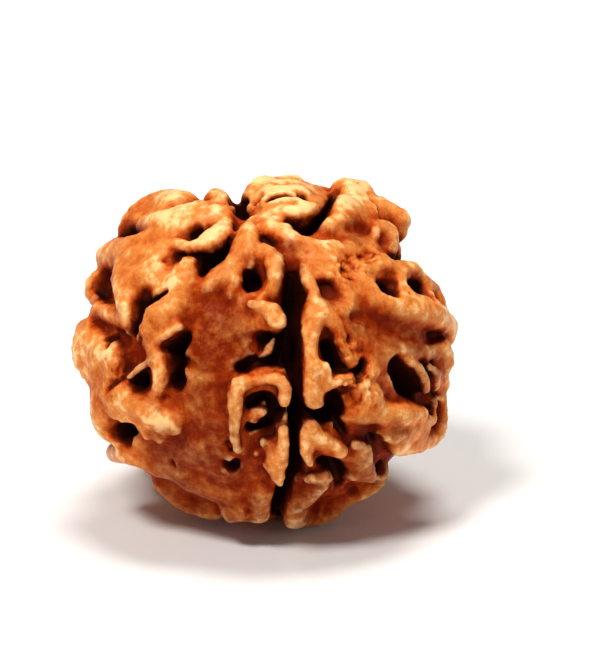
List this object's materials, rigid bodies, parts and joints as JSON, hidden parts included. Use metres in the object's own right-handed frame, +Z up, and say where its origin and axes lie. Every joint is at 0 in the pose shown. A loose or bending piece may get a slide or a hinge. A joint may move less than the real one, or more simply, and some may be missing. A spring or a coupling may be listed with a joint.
{
  "type": "one mukhi rudraksha bead",
  "caption": "Round dried seed stone with a deeply sculpted surface of lobes, raised net and pits, a long furrow from pole to pole and a through hole for a thread.",
  "frame": {"origin": "middle of the bead's box in X and Y, on the small flat spot that it rests on", "axes": "+Z up through the bead from its flat spot, the long furrow towards -Y, +X to the right as seen facing the furrow"},
  "size_m": [0.024, 0.023, 0.0216],
  "materials": {
    "stone": "waxed, semi-gloss, dark brown in the furrow and pits"
  },
  "bodies": {
    "root": {"bead": "stone"}
  },
  "joints": []
}
